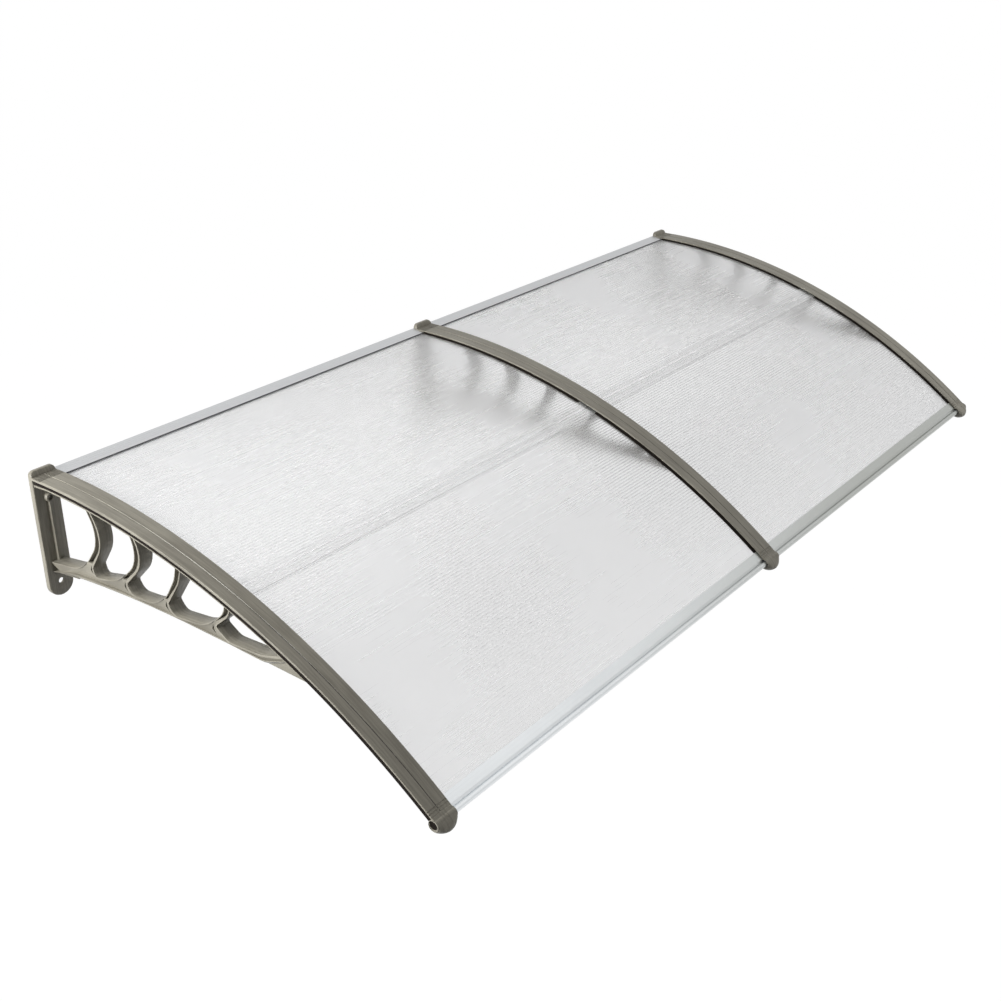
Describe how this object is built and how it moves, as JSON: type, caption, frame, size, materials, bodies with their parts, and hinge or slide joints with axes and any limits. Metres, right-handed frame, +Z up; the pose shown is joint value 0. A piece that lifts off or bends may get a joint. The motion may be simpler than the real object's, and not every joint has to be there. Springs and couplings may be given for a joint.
{
  "type": "door canopy",
  "caption": "Curved door canopy: moulded wall brackets with open trusses carry twin-wall sheets between slim metal edge bars.",
  "frame": {"origin": "back face of the middle bracket's wall plate, level with the crest of the arc that the top flanges follow", "axes": "+X along the wall, +Y into the wall, +Z up; the canopy reaches out along -Y"},
  "size_m": [2.051, 0.92, 0.3314],
  "materials": {
    "bracket_moulding": "satin grey-brown moulding",
    "twin_wall_sheet": "translucent twin-wall sheet",
    "clear_connector": "clear ribbed strip",
    "pale_aluminium": "satin extrusion with fine lengthwise lines"
  },
  "bodies": {
    "root": {"bracket_left": "bracket_moulding", "bracket_middle": "bracket_moulding", "bracket_right": "bracket_moulding", "sheet_rear_left": "twin_wall_sheet", "sheet_front_left": "twin_wall_sheet", "connector_left": "clear_connector", "rear_bar_left": "pale_aluminium", "front_bar_left": "pale_aluminium", "sheet_rear_right": "twin_wall_sheet", "sheet_front_right": "twin_wall_sheet", "connector_right": "clear_connector", "rear_bar_right": "pale_aluminium", "front_bar_right": "pale_aluminium"}
  },
  "joints": []
}
